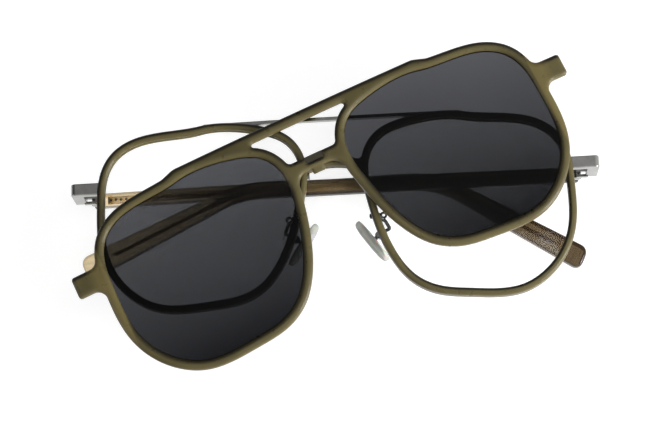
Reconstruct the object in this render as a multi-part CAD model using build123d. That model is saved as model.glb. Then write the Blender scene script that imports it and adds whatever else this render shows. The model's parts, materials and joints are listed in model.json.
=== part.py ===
from build123d import *
import os
from math import asin, cos, degrees, hypot, radians, sin

# Pilot spectacles with a magnetic sun clip, put down front up on their folded temples.
# The clip lies on the front, turned out of line, as it is left when it has been pulled off.
# Millimetres and degrees. Row frame: +X along the front to the right, +Y towards the brow, +Z up
# from the table. The origin is the middle of the set's footprint, at the table.
# Front frame of reference: the same axes before the front is leaned, with z = 0 on the front face.

# ---------------------------------------------------------------- lens shape shared by both fronts
# Fractions of half the box width (outwards) and half the box height (upwards), going outwards
# from the top middle: brow, outer corner, side, lower corner, base, nasal diagonal, nasal corner.
LENS_SHAPE = (
    (0.0, 1.0), (0.5, 0.945), (0.7, 0.885), (0.865, 0.755), (0.962, 0.55), (0.996, 0.2),
    (0.972, -0.33), (0.875, -0.6), (0.715, -0.815), (0.5, -0.965), (-0.05, -0.995),
    (-0.36, -0.945), (-0.57, -0.82), (-0.765, -0.53), (-0.965, 0.17), (-0.996, 0.4),
    (-0.97, 0.63), (-0.86, 0.82), (-0.585, 0.96),
)
BOW_RADIUS = 900.0          # both fronts are bowed to one sphere, so they nest at any turn
FIT_GAP = 0.05              # clearance round a piece set in a groove or pocket

# ---------------------------------------------------------------- optical front
LENS_WIDTH = 57.0
LENS_HEIGHT = 50.4
LENS_THICK = 1.6
LENS_INSET = 0.9            # from the front face back to the lens
BRIDGE_WIDTH = 18.4         # between the two lenses
LENS_RISE = 0.8             # lens middle above the front's middle line
LENS_BITE = 0.5             # how far a lens sits in its groove
RIM_WIDTH = 2.2             # face width, from the opening outwards
FRAME_THICK = 3.4
FRAME_ROUND = 0.7           # rounding of the front edges
REAR_ROUND = 0.45           # rounding of the rear edges
NOSE_ARCH_TOP = 13.4        # underside of the lower bridge
NOSE_ARCH_SIDE = 11.2       # height where that arch meets the rims
LOWER_BRIDGE_HEIGHT = 2.9
BRIDGE_CORNER = 1.2         # rounding where the bridge meets the rims

BROW_BAR_LENGTH = 73.4
BROW_BAR_HEIGHT = 1.0
BROW_BAR_DEPTH = 1.6
BROW_BAR_INSET = 0.7        # from the front face back to the bar
BROW_BAR_Y = 27.6

STUD_SIZE = (1.7, 1.8, 1.4)  # steel stud that the clip's magnet pulls on: across, up, deep
STUD_Y = 10.9
STUD_PROUD = 0.6            # how far it stands out of the rim towards the nose

# ---------------------------------------------------------------- endpieces and hinges
END_Y = 11.3                # middle height of the endpieces
END_REACH = 75.2            # outer face, from the middle
END_HEIGHT = 3.5
END_ARM_THICK = 2.3         # front arm, front to back
END_SIDE_THICK = 3.4        # side arm, outside to inside
END_DEPTH = 10.2            # side arm, front to back
END_CORNER = 1.3            # rounding of the outer corner
END_EDGE = 0.35             # polished edge rounding
TENON_SIZE = (1.1, 1.6, 1.1)  # tongue into the rim: across, up, deep
HINGE_OFFSET = 2.4          # pin centre inside the side arm's inner face
HINGE_SETBACK = 0.8         # pin centre behind the end of the side arm
KNUCKLE_RADIUS = 1.35
KNUCKLE_COUNT = 5
HINGE_HEIGHT = 4.0
KNUCKLE_GAP = 0.06          # between neighbouring knuckles
WEB_THICK = 1.3
PIN_RADIUS = 0.55
PIN_CLEARANCE = 0.05
SCREW_HEAD_RADIUS = 0.95
SCREW_HEAD_HEIGHT = 0.5
SCREW_SLOT = (0.28, 0.25)   # width, depth

# ---------------------------------------------------------------- temples
TEMPLE_LENGTH = 147.0       # along the blade, pin to end
TEMPLE_STRAIGHT = 90.0      # pin to the start of the ear bend
EAR_RADIUS = 30.0
TEMPLE_THICK = 3.2
TEMPLE_BUTT = 0.7           # blade carried past the pin
TEMPLE_HEIGHT = 4.1         # at the hinge
EAR_HEIGHT = 4.7            # at the ear bend
TEMPLE_ROUND = 0.8
TIP_FLARE = 3.2             # each edge of the tip opens by this angle to the other
TIP_CUT = 12.0              # the end is cut this far off square
TIP_CORNER = 2.4
TEMPLE_CLEARANCE = 0.15     # blade to the endpiece's knuckles
EAR_DROP = {"left": 33.0, "right": 25.0}   # ear bend, as adjusted for the wearer
TEMPLE_RISE = {"left": 1.0, "right": 0.0}  # blade off square to its pin, as adjusted
CORE_WIDTH = 2.0
CORE_THICK = 0.8
CORE_TIP_WIDTH = 1.1
CORE_TAPER = 6.0            # length past the ear bend over which the core narrows
CORE_END = 9.5              # from the core's end to the tip
CORE_START = 6.4            # from the pin to the core
HINGE_PLATE_LENGTH = 5.2
HINGE_PLATE_HEIGHT = 2.6
HINGE_PLATE_THICK = 0.8
TANG_SIZE = (1.0, 1.2, 0.9)  # peg under the plate: along, up, beyond the plate

# ---------------------------------------------------------------- nose pads
PAD_LENGTH = 14.0
PAD_WIDTH = 7.6
PAD_THICK = 2.0
PAD_ROUND = 0.8
PAD_MIDDLE = (9.95, -7.1, -8.6)
PAD_SPLAY = 54.6            # long axis below the line of the front
PAD_TOE = 8.0               # face turned towards the wearer
PAD_STAND = 1.35            # pivot behind the pad's back
PAD_CORE_SIZE = (9.0, 3.6, 0.7)
PAD_STEM = 1.1
LUG_RADIUS = 1.05
LUG_THICK = 1.1
PAD_PIN_RADIUS = 0.4
FORK_THICK = 0.6
FORK_GAP = 0.06             # lug to fork, each side
FORK_WIDTH = 1.7
FORK_REACH = 1.4            # pivot to the fork's back
FORK_BACK = 0.8
PAD_HEAD_RADIUS = 0.7
PAD_HEAD_HEIGHT = 0.4
ARM_WIRE = 1.0
MOUNT_Y = -1.1
MOUNT_SIZE = (3.4, 1.3, 1.0)  # bracket behind the rim: across, up, deep
MOUNT_LOOP = 1.0            # outer radius of its loop on the lens side
MOUNT_PIN_DEPTH = 1.3
ARM_ROUTE = ((13.7, -2.0, -6.6), (15.0, -4.2, -7.6))  # gooseneck corners, lens side of the rim

# ---------------------------------------------------------------- sun clip
CLIP_TURN = 22.5            # turned on the front, anticlockwise
CLIP_SHIFT = (0.8, 0.35)
CLIP_GAP = 0.3              # clip's rear to the front's face
SUN_WIDTH = 57.7
SUN_HEIGHT = 51.5
SUN_THICK = 1.0
CLIP_BRIDGE = 18.2          # between the two sun lenses
SUN_RISE = 1.85
CLIP_RIM = 2.8
CLIP_THICK = 2.0
CLIP_ROUND = 0.55
CLIP_REAR_ROUND = 0.35
CLIP_BROW_TOP = 30.8
CLIP_BROW_HEIGHT = 2.9
CLIP_BROW_HALF = 37.5       # half length of the straight brow line
BROW_STEP = 6.5             # run of the step down at each end
BROW_STEP_ROUND = 5.0
CLIP_BRIDGE_TOP = 17.4
CLIP_ARCH_TOP = 13.6
ARCH_ROUND = 4.0
WINDOW_LOW_ROUND = 1.5
WINDOW_HIGH_ROUND = 0.8
LUG_REACH = 76.2            # end of the clip's side lugs
LUG_LOW = 8.25
LUG_HIGH = 14.75
LUG_END_ROUND = 0.9
LUG_LOW_ROUND = 3.0
LUG_HIGH_ROUND = 2.5
MAGNET_SIZE = (5.2, 1.9, 1.1)  # bar magnet: across, up, deep
TAB_WIDTH = 3.7             # finger tab under the clip's bridge
TAB_DROP = 1.5
TAB_THICK = 1.0
TAB_ROUND = 0.4

# ---------------------------------------------------------------- how the set lies
FRONT_LEAN = 2.2            # the front rises this much to the right
LAP_REACH = 46.0            # the temples lie over each other to this far left of the middle
LAP_GAP = 0.25              # between them there

SIDES = {"left": -1, "right": 1}
PRISM = 40.0                # long enough to pass through either front

# worked out from the sizes above
LENS_X = (BRIDGE_WIDTH + LENS_WIDTH) / 2
SUN_X = (CLIP_BRIDGE + SUN_WIDTH) / 2
SUN_INSET = (CLIP_THICK - SUN_THICK) / 2 - CLIP_GAP - CLIP_THICK   # from the optical front's face
END_FACE = -(END_REACH ** 2 + END_Y ** 2) / (2 * BOW_RADIUS)   # front of the endpieces, on the bow
SIDE_ARM_X = END_REACH - END_SIDE_THICK
HINGE_X = SIDE_ARM_X - HINGE_OFFSET
HINGE_Z = END_FACE - END_DEPTH - HINGE_SETBACK
BLADE_TOP = -(KNUCKLE_RADIUS + TEMPLE_CLEARANCE)   # folded blade's inner face, from the pin
BLADE_LOW = BLADE_TOP - TEMPLE_THICK


# ---------------------------------------------------------------- shared construction
def lens_face(width, height, middle_x, middle_y, side, grow=0.0):
    """The lens outline as a face, each of its points moved out square to its neighbours by grow."""
    points = [(x * width / 2, y * height / 2) for x, y in LENS_SHAPE]
    outline = []
    for i, (x, y) in enumerate(points):
        before = points[i - 1]
        after = points[(i + 1) % len(points)]
        run, rise = after[0] - before[0], after[1] - before[1]
        span = hypot(run, rise)
        outline.append((side * (middle_x + x - grow * rise / span),
                        middle_y + y + grow * run / span))
    return make_face(Spline(*outline, periodic=True))


def optical_face(side, grow=0.0):
    return lens_face(LENS_WIDTH, LENS_HEIGHT, LENS_X, LENS_RISE, side, grow)


def sun_face(side, grow=0.0):
    return lens_face(SUN_WIDTH, SUN_HEIGHT, SUN_X, SUN_RISE, side, grow)


def prism(face):
    """The face carried straight through both fronts."""
    return extrude(Pos(0, 0, -PRISM / 2) * face, PRISM)


def ball(level):
    """The bow's sphere grown to a level, its seam and poles kept away from the fronts."""
    return Pos(0, 0, -BOW_RADIUS) * Rot(0, 90, 0) * Rot(90, 0, 0) * Sphere(BOW_RADIUS + level)


def bowed(blank, top, bottom):
    """The slice of a prism between two levels of the bow."""
    return (blank & ball(top)) - ball(bottom)


def edges_on(part, level):
    """Edges that lie on one level of the bow."""
    centre = Vector(0, 0, -BOW_RADIUS)

    def on_level(edge):
        return all(abs((edge.position_at(along) - centre).length - BOW_RADIUS - level) < 1e-3
                   for along in (0.1, 0.5, 0.9))

    return part.edges().filter_by(on_level)


def round_uprights(blank, radius, chosen):
    """Round a prism's upright edges chosen by their place, mirrored to the right."""
    edges = blank.edges().filter_by(Axis.Z)
    return fillet(edges.filter_by(lambda e: chosen(abs(e.center().X), e.center().Y)), radius)


def block(size, middle):
    return Pos(*middle) * Box(*size)


def grown(size, gap):
    return tuple(length + 2 * gap for length in size)



# ---------------------------------------------------------------- optical front
def brow_bar_blank(height, gap=0.0):
    """The brow bar's sweep along the bow, from its lower edge up to a height."""
    outline = Pos(0, BROW_BAR_Y + (height - BROW_BAR_HEIGHT) / 2 - gap) * Rectangle(
        BROW_BAR_LENGTH + 2 * gap, height)
    return bowed(prism(outline), gap - BROW_BAR_INSET, -BROW_BAR_INSET - BROW_BAR_DEPTH - gap)


def brow_bar():
    """Thin metal bar let into slots that are open at the tops of the rims."""
    bar = brow_bar_blank(BROW_BAR_HEIGHT)
    ends = bar.edges().filter_by(lambda e: abs(e.center().X) > BROW_BAR_LENGTH / 2 - 0.1)
    return fillet(ends, BROW_BAR_HEIGHT / 4)


def lens_blank(face, inset, thick, gap=0.0):
    return bowed(prism(face), -inset + gap, -inset - thick - gap)


def clear_lens(side):
    return lens_blank(optical_face(side), LENS_INSET, LENS_THICK)


def tenon(gap=0.0):
    """Tongue of the right endpiece inside the rim."""
    size = grown(TENON_SIZE, gap)
    inner = LENS_X + LENS_WIDTH / 2 + FIT_GAP * 2
    return block(size, (inner + TENON_SIZE[0] / 2 + 0.2, END_Y, END_FACE - END_ARM_THICK / 2))


def stud_middle():
    rim_edge = BRIDGE_WIDTH / 2 - (RIM_WIDTH - LENS_BITE)
    return (rim_edge - STUD_PROUD + STUD_SIZE[0] / 2, STUD_Y, -FRAME_THICK / 2)


def mount_middle():
    """Middle of the right pad bracket, behind the nasal side of the rim."""
    nasal = min(crossings(optical_face(1, -LENS_BITE), MOUNT_Y))
    return (nasal - RIM_WIDTH / 2, MOUNT_Y, -FRAME_THICK - FIT_GAP - MOUNT_SIZE[2] / 2 - 0.1)


def crossings(face, y):
    """Where a face's outline crosses a height."""
    line = Edge.make_line((-END_REACH, y, 0), (END_REACH, y, 0))
    return [point.X for edge in face.edges() for point in edge.intersect(line).vertices()]


def mount_pin(gap=0.0):
    x, y, z = mount_middle()
    length = MOUNT_PIN_DEPTH + MOUNT_SIZE[2] / 2 + 0.1 + gap
    return Pos(x, y, z + length / 2) * Cylinder(ARM_WIRE / 2 + gap, length)


def front_frame():
    """Both rims and the lower bridge, grooved for the lenses and pocketed for what it carries."""
    outer = RIM_WIDTH - LENS_BITE
    half = BRIDGE_WIDTH / 2
    bridge = make_face([
        ThreePointArc((-half, NOSE_ARCH_SIDE), (0, NOSE_ARCH_TOP), (half, NOSE_ARCH_SIDE)),
        Line((half, NOSE_ARCH_SIDE), (half, NOSE_ARCH_SIDE + LOWER_BRIDGE_HEIGHT)),
        ThreePointArc((half, NOSE_ARCH_SIDE + LOWER_BRIDGE_HEIGHT),
                      (0, NOSE_ARCH_TOP + LOWER_BRIDGE_HEIGHT),
                      (-half, NOSE_ARCH_SIDE + LOWER_BRIDGE_HEIGHT)),
        Line((-half, NOSE_ARCH_SIDE + LOWER_BRIDGE_HEIGHT), (-half, NOSE_ARCH_SIDE)),
    ])
    blank = prism(optical_face(1, outer) + optical_face(-1, outer) + bridge)
    blank = round_uprights(blank, BRIDGE_CORNER, lambda x, y: x < half)
    blank -= [prism(optical_face(side, -LENS_BITE)) for side in (1, -1)]
    frame = bowed(blank, 0, -FRAME_THICK)
    frame -= [lens_blank(optical_face(side, FIT_GAP), LENS_INSET, LENS_THICK, FIT_GAP)
              for side in (1, -1)]
    frame = fillet(edges_on(frame, 0), FRAME_ROUND)
    frame = fillet(edges_on(frame, -FRAME_THICK), REAR_ROUND)
    pockets = [brow_bar_blank(BROW_BAR_HEIGHT * 3, FIT_GAP)]
    for pocket in (tenon(FIT_GAP), block(grown(STUD_SIZE, FIT_GAP), stud_middle()),
                   mount_pin(FIT_GAP)):
        pockets += [pocket, mirror(pocket, about=Plane.YZ)]
    return frame - pockets


def stud():
    """Right steel stud beside the nose arch, trimmed to the bow."""
    return fillet(block(STUD_SIZE, stud_middle()).edges().filter_by(Axis.Z), 0.25)


# ---------------------------------------------------------------- endpieces and hinges
def knuckle_height():
    return HINGE_HEIGHT / KNUCKLE_COUNT - KNUCKLE_GAP


def knuckle_y(index):
    """Middle of one barrel from the hinge's middle, counted from below."""
    return (index - (KNUCKLE_COUNT - 1) / 2) * HINGE_HEIGHT / KNUCKLE_COUNT


def barrel(index):
    return Pos(0, knuckle_y(index), 0) * Rot(90, 0, 0) * Cylinder(KNUCKLE_RADIUS, knuckle_height())


def pin_bore():
    return Rot(90, 0, 0) * Cylinder(PIN_RADIUS + PIN_CLEARANCE, HINGE_HEIGHT * 2)


def endpiece():
    """Right endpiece: a front arm, a side arm bent back, a tongue, and its own knuckles."""
    rear = END_FACE - END_DEPTH
    plan = Polyline((END_REACH, END_FACE), (END_REACH, rear), (SIDE_ARM_X, rear),
                    (SIDE_ARM_X, END_FACE - END_ARM_THICK),
                    (LENS_X + LENS_WIDTH / 2, END_FACE - END_ARM_THICK),
                    (LENS_X + LENS_WIDTH / 2, END_FACE), close=True)
    body = extrude(Pos(0, END_Y + END_HEIGHT / 2, 0) * Rot(90, 0, 0) * make_face(plan), END_HEIGHT)
    outer = body.edges().filter_by(Axis.Y).filter_by(
        lambda e: e.center().X > END_REACH - 0.1 and e.center().Z > END_FACE - 0.1)
    body = fillet(outer, END_CORNER)
    inner = body.edges().filter_by(Axis.Y).filter_by(
        lambda e: abs(e.center().X - SIDE_ARM_X) < 0.1 and e.center().Z > rear + 0.1)
    body = fillet(inner, END_CORNER / 2)
    body -= prism(optical_face(1, RIM_WIDTH - LENS_BITE + FIT_GAP))
    long_edges = body.edges().filter_by(
        lambda e: abs(e.center().Y - END_Y) > END_HEIGHT / 2 - 0.01 and e.center().X > SIDE_ARM_X - 3)
    body = fillet(long_edges, END_EDGE)
    body += tenon()
    root = HINGE_OFFSET + END_EDGE * 2
    for index in range(0, KNUCKLE_COUNT, 2):
        web = block((root, knuckle_height(), WEB_THICK),
                    (root / 2, knuckle_y(index), HINGE_SETBACK + WEB_THICK / 2))
        body += Pos(HINGE_X, END_Y, HINGE_Z) * (barrel(index) + web)
    return body - Pos(HINGE_X, END_Y, HINGE_Z) * pin_bore()


def hinge_screw():
    """Right hinge screw, head up."""
    top = HINGE_HEIGHT / 2
    shank = Rot(90, 0, 0) * Cylinder(PIN_RADIUS, HINGE_HEIGHT)
    head = Pos(0, top + SCREW_HEAD_HEIGHT / 2, 0) * Rot(90, 0, 0) * Cylinder(
        SCREW_HEAD_RADIUS, SCREW_HEAD_HEIGHT)
    width, depth = SCREW_SLOT
    slot = block((SCREW_HEAD_RADIUS * 3, depth * 2, width), (0, top + SCREW_HEAD_HEIGHT, 0))
    return Pos(HINGE_X, END_Y, HINGE_Z) * (shank + head - slot)


# ---------------------------------------------------------------- temples
def edge_path(side, half_start, half_ear, flare, length):
    """Corners of a blade's long edge: butt, ear bend's start, crest and end, and tip.

    The two halves are its heights over the blade's middle line, and it bends less by flare."""
    turn = radians(EAR_DROP[side] - flare)
    radius = EAR_RADIUS + half_ear
    crest = (TEMPLE_STRAIGHT + radius * sin(turn / 2), radius * cos(turn / 2) - EAR_RADIUS)
    leave = (TEMPLE_STRAIGHT + radius * sin(turn), radius * cos(turn) - EAR_RADIUS)
    tip = (leave[0] + length * cos(turn), leave[1] - length * sin(turn))
    return (-TEMPLE_BUTT, half_start), (TEMPLE_STRAIGHT, half_ear), crest, leave, tip


def tip_run(side):
    """Straight length from the ear bend to the tip."""
    return TEMPLE_LENGTH - TEMPLE_STRAIGHT - EAR_RADIUS * radians(EAR_DROP[side])


def blade_face(side):
    """Outline of a blade in its own plane, the pin at the origin and the tip to the right."""
    cut = EAR_HEIGHT * sin(radians(TIP_CUT)) / 2
    top = edge_path(side, TEMPLE_HEIGHT / 2, EAR_HEIGHT / 2, TIP_FLARE / 2, tip_run(side) + cut)
    low = edge_path(side, -TEMPLE_HEIGHT / 2, -EAR_HEIGHT / 2, -TIP_FLARE / 2, tip_run(side) - cut)
    return make_face([
        Line(top[0], top[1]), ThreePointArc(top[1], top[2], top[3]), Line(top[3], top[4]),
        Line(top[4], low[4]),
        Line(low[4], low[3]), ThreePointArc(low[3], low[2], low[1]), Line(low[1], low[0]),
        Line(low[0], top[0]),
    ])


def core_face(side, gap=0.0):
    """The core's strip in the same plane, narrower past the ear bend."""
    start = CORE_START - gap
    run = tip_run(side) - CORE_END + gap
    turn = radians(EAR_DROP[side])
    wide = CORE_WIDTH / 2 + gap
    step = (CORE_WIDTH - CORE_TIP_WIDTH) / 2

    def beyond(leave, along, inward):
        """A point past the bend, moved towards the strip's middle line."""
        return (leave[0] + along * cos(turn) - inward * sin(turn),
                leave[1] - along * sin(turn) - inward * cos(turn))

    _, top_ear, top_crest, top_leave, _ = edge_path(side, wide, wide, 0, run)
    _, low_ear, low_crest, low_leave, _ = edge_path(side, -wide, -wide, 0, run)
    return make_face([
        Line((start, wide), top_ear), ThreePointArc(top_ear, top_crest, top_leave),
        Polyline(top_leave, beyond(top_leave, CORE_TAPER, step), beyond(top_leave, run, step),
                 beyond(low_leave, run, -step), beyond(low_leave, CORE_TAPER, -step), low_leave),
        ThreePointArc(low_leave, low_crest, low_ear), Line(low_ear, (start, -wide)),
        Line((start, -wide), (start, wide)),
    ])


def hinge_plate(gap=0.0):
    """Plate let into the blade's inner face, in the blade's place when folded."""
    size = grown((HINGE_PLATE_LENGTH, HINGE_PLATE_HEIGHT, HINGE_PLATE_THICK), gap)
    middle = HINGE_PLATE_LENGTH / 2 - TEMPLE_BUTT + 0.1
    return block(size, (middle, 0, BLADE_TOP - HINGE_PLATE_THICK / 2))


def hinge_tang(gap=0.0):
    """Peg on the plate's far end, sunk into the blade."""
    width, height, depth = TANG_SIZE
    reach = HINGE_PLATE_THICK + depth + gap
    middle = HINGE_PLATE_LENGTH - TEMPLE_BUTT - width
    return block((width + 2 * gap, height + 2 * gap, reach), (middle, 0, BLADE_TOP - reach / 2))


def temple_parts(side):
    """Blade, core and hinge plate of one folded temple, for a left pin at the origin."""
    lean = Rot(0, 0, TEMPLE_RISE[side])
    blade = extrude(Pos(0, 0, BLADE_LOW) * blade_face(side), TEMPLE_THICK)
    blade = fillet(blade.edges().filter_by(Axis.Z).filter_by(
        lambda e: e.center().X > TEMPLE_STRAIGHT + EAR_RADIUS), TIP_CORNER)
    faces = blade.edges().filter_by(
        lambda e: abs(e.center().Z - BLADE_TOP + TEMPLE_THICK / 2) > TEMPLE_THICK / 2 - 0.01)
    blade = lean * fillet(faces, TEMPLE_ROUND)
    core_low = BLADE_TOP - (TEMPLE_THICK + CORE_THICK) / 2
    core = lean * extrude(Pos(0, 0, core_low) * core_face(side), CORE_THICK)
    room = lean * extrude(Pos(0, 0, core_low - FIT_GAP) * core_face(side, FIT_GAP),
                          CORE_THICK + 2 * FIT_GAP)
    blade -= [room, hinge_plate(FIT_GAP), hinge_tang(FIT_GAP)]
    plate = hinge_plate() + hinge_tang()
    for index in range(1, KNUCKLE_COUNT, 2):
        web = block((WEB_THICK, knuckle_height(), HINGE_PLATE_THICK / 2 - BLADE_TOP),
                    (0, knuckle_y(index), (BLADE_TOP - HINGE_PLATE_THICK / 2) / 2))
        plate += barrel(index) + web
    return {"temple": blade, "temple_core": core, "temple_hinge": plate - pin_bore()}


# ---------------------------------------------------------------- nose pads
def pad_place():
    """Pad axes: x down its length, y out of its back, z across it."""
    turn = radians(PAD_SPLAY)
    along = Vector(cos(turn), -sin(turn), 0)
    back = Vector(sin(turn), cos(turn), 0)
    return Plane(origin=PAD_MIDDLE, x_dir=along, z_dir=along.cross(back)).location * Rot(PAD_TOE, 0, 0)


def pad_outline():
    """Long oval, a little fuller at its lower end."""
    half, wide = PAD_LENGTH / 2, PAD_WIDTH / 2
    return make_face(Spline((-half, 0), (-half * 0.55, wide * 0.78), (half * 0.2, wide),
                            (half * 0.8, wide * 0.66), (half, 0), (half * 0.8, -wide * 0.66),
                            (half * 0.2, -wide), (-half * 0.55, -wide * 0.78), periodic=True))


def pad_core_blank(gap=0.0):
    """Stiff plate in the pad, in pad axes."""
    plate = block(grown((PAD_CORE_SIZE[0], PAD_CORE_SIZE[2], PAD_CORE_SIZE[1]), gap), (0, 0, 0))
    stem = block((PAD_STEM + 2 * gap, PAD_THICK / 2 + PAD_STAND, LUG_THICK + 2 * gap),
                 (0, (PAD_THICK / 2 + PAD_STAND) / 2, 0))
    return plate + stem


def pad_bits():
    """Right pad, its core with the lug, the fork round the lug and the screw through both."""
    place = pad_place()
    pivot = PAD_THICK / 2 + PAD_STAND
    pad = Rot(-90, 0, 0) * extrude(Pos(0, 0, -PAD_THICK / 2) * pad_outline(), PAD_THICK)
    faces = pad.edges().filter_by(lambda e: abs(e.center().Y) > PAD_THICK / 2 - 0.01)
    pad = fillet(faces, PAD_ROUND) - pad_core_blank(FIT_GAP)
    hole = Pos(0, pivot, 0) * Cylinder(PAD_PIN_RADIUS + PIN_CLEARANCE, LUG_THICK * 5)
    core = pad_core_blank() + Pos(0, pivot, 0) * Cylinder(LUG_RADIUS, LUG_THICK) - hole
    cheek = LUG_THICK / 2 + FORK_GAP + FORK_THICK / 2
    half = cheek + FORK_THICK / 2
    fork = block((FORK_WIDTH, FORK_BACK, 2 * half), (0, pivot + FORK_REACH + FORK_BACK / 2, 0))
    fork = fillet(fork.edges().filter_by(Axis.X), FORK_BACK / 3)
    for z in (cheek, -cheek):
        fork += Pos(0, pivot, z) * Cylinder(LUG_RADIUS, FORK_THICK)
        fork += block((FORK_WIDTH, FORK_REACH + FORK_BACK / 2, FORK_THICK),
                      (0, pivot + (FORK_REACH + FORK_BACK / 2) / 2, z))
    fork -= hole
    screw = Pos(0, pivot, 0) * Cylinder(PAD_PIN_RADIUS, 2 * half)
    screw += Pos(0, pivot, half + PAD_HEAD_HEIGHT / 2) * Cylinder(PAD_HEAD_RADIUS, PAD_HEAD_HEIGHT)
    socket = place * Location((0, pivot + FORK_REACH + FORK_BACK / 2, 0))
    return place * pad, place * core, place * fork, place * screw, socket.position


def pad_mount():
    """Right bracket: a bar behind the rim with a pin into it and a small loop on the lens side."""
    x, y, z = mount_middle()
    bar = block(MOUNT_SIZE, (x, y, z))
    bar = fillet(bar.edges().filter_by(Axis.Z), MOUNT_SIZE[1] / 3)
    loop_x = x + MOUNT_SIZE[0] / 2 + MOUNT_LOOP * 0.6
    loop = Pos(loop_x, y, z) * Cylinder(MOUNT_LOOP, MOUNT_SIZE[2])
    eye = Pos(loop_x, y, z) * Cylinder(MOUNT_LOOP * 0.45, MOUNT_SIZE[2] * 3)
    return bar + loop + mount_pin() - eye


def pad_arm(fork, socket):
    """Right gooseneck wire from the bracket round to the fork."""
    x, y, z = mount_middle()
    start = z - MOUNT_SIZE[2] / 2
    route = ((x, y, start), (x, y, start - ARM_WIRE), *ARM_ROUTE, tuple(socket))
    line = FilletPolyline(*route, radius=ARM_WIRE / 2)
    section = Plane(origin=line @ 0, z_dir=line % 0) * Circle(ARM_WIRE / 2)
    return sweep(section, path=line) + fork


# ---------------------------------------------------------------- sun clip
def clip_magnet_blank(gap=0.0):
    """Bar magnet let into the front of the bridge, along its top edge."""
    size = grown(MAGNET_SIZE, gap)
    outline = Pos(0, CLIP_BRIDGE_TOP - MAGNET_SIZE[1] / 2 - 0.1) * Rectangle(size[0], size[1])
    top = CLIP_GAP + CLIP_THICK + gap
    return bowed(prism(outline), top, top - size[2])


def clip_frame():
    """The clip's plastic front: two rims under a straight brow, a low bridge, lugs and a tab."""
    outer = CLIP_RIM - LENS_BITE
    half = CLIP_BROW_HALF
    brow_low = CLIP_BROW_TOP - CLIP_BROW_HEIGHT
    brow = make_face(Polyline(
        (half, CLIP_BROW_TOP), (half + BROW_STEP, brow_low + 0.7), (half, brow_low),
        (-half, brow_low), (-half - BROW_STEP, brow_low + 0.7), (-half, CLIP_BROW_TOP), close=True))
    bridge = Pos(0, (CLIP_BRIDGE_TOP + CLIP_ARCH_TOP) / 2) * Rectangle(
        CLIP_BRIDGE, CLIP_BRIDGE_TOP - CLIP_ARCH_TOP)
    blank = sun_face(1, outer) + sun_face(-1, outer) + brow + bridge
    lug_root = SUN_X + SUN_WIDTH / 2
    for side in (1, -1):
        blank += Pos(side * (lug_root + LUG_REACH) / 2, (LUG_LOW + LUG_HIGH) / 2) * Rectangle(
            LUG_REACH - lug_root, LUG_HIGH - LUG_LOW)
    blank = prism(blank)
    lug_mid = (LUG_LOW + LUG_HIGH) / 2
    bridge_mid = (CLIP_BRIDGE_TOP + CLIP_ARCH_TOP) / 2
    reach = CLIP_BRIDGE
    blank = round_uprights(blank, LUG_END_ROUND, lambda x, y: x > LUG_REACH - 0.1)
    blank = round_uprights(blank, LUG_LOW_ROUND, lambda x, y: lug_root < x < LUG_REACH - 3 and y < lug_mid)
    blank = round_uprights(blank, LUG_HIGH_ROUND,
                           lambda x, y: lug_root < x < LUG_REACH - 3 and y > lug_mid)
    blank = round_uprights(blank, ARCH_ROUND, lambda x, y: x < reach / 2 and y < bridge_mid)
    blank = round_uprights(blank, WINDOW_LOW_ROUND,
                           lambda x, y: x < reach / 2 and bridge_mid < y < brow_low - 4)
    blank = round_uprights(blank, WINDOW_HIGH_ROUND, lambda x, y: x < half - 10 and y > brow_low - 1)
    blank = round_uprights(blank, BROW_STEP_ROUND, lambda x, y: half - 1 < x < half + BROW_STEP + 1)
    blank -= [prism(sun_face(side, -LENS_BITE)) for side in (1, -1)]
    clip = bowed(blank, CLIP_GAP + CLIP_THICK, CLIP_GAP)
    clip = fillet(edges_on(clip, CLIP_GAP + CLIP_THICK), CLIP_ROUND)
    clip = fillet(edges_on(clip, CLIP_GAP), CLIP_REAR_ROUND)
    clip -= [lens_blank(sun_face(side, FIT_GAP), SUN_INSET, SUN_THICK, FIT_GAP)
             for side in (1, -1)]
    tab_height = TAB_DROP + 1.0
    tab = block((TAB_WIDTH, tab_height, TAB_THICK),
                (0, CLIP_ARCH_TOP - TAB_DROP + tab_height / 2, CLIP_GAP + 0.1 + TAB_THICK / 2))
    tab = fillet(tab.edges().filter_by(Axis.Z), TAB_ROUND)
    return clip + tab - clip_magnet_blank(FIT_GAP)


def sun_lens(side):
    return lens_blank(sun_face(side), SUN_INSET, SUN_THICK)


# ---------------------------------------------------------------- the set, put together and laid down
def front_location():
    """Leaned so that the left temple lies flat, with the left pin over the blade that it carries."""
    lean = Rot(0, -FRONT_LEAN, 0)
    pin = (lean * Location((-HINGE_X, 0, HINGE_Z))).position
    return Pos(0, 0, -BLADE_LOW - pin.Z) * lean


def pin_place(side):
    """Where a hinge pin's middle comes in the row frame, before centring."""
    return (front_location() * Location((SIDES[side] * HINGE_X, END_Y, HINGE_Z))).position


def fold_slope():
    """How far the right blade falls towards its tip, so that it lies over the left one."""
    pin = pin_place("right")
    drop = pin.Z + BLADE_LOW - TEMPLE_THICK - LAP_GAP
    return degrees(asin(drop / (pin.X + LAP_REACH)))


def temple_location(side):
    place = Pos(*pin_place(side))
    if side == "left":
        return place
    return place * Rot(0, -fold_slope(), 0)


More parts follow.
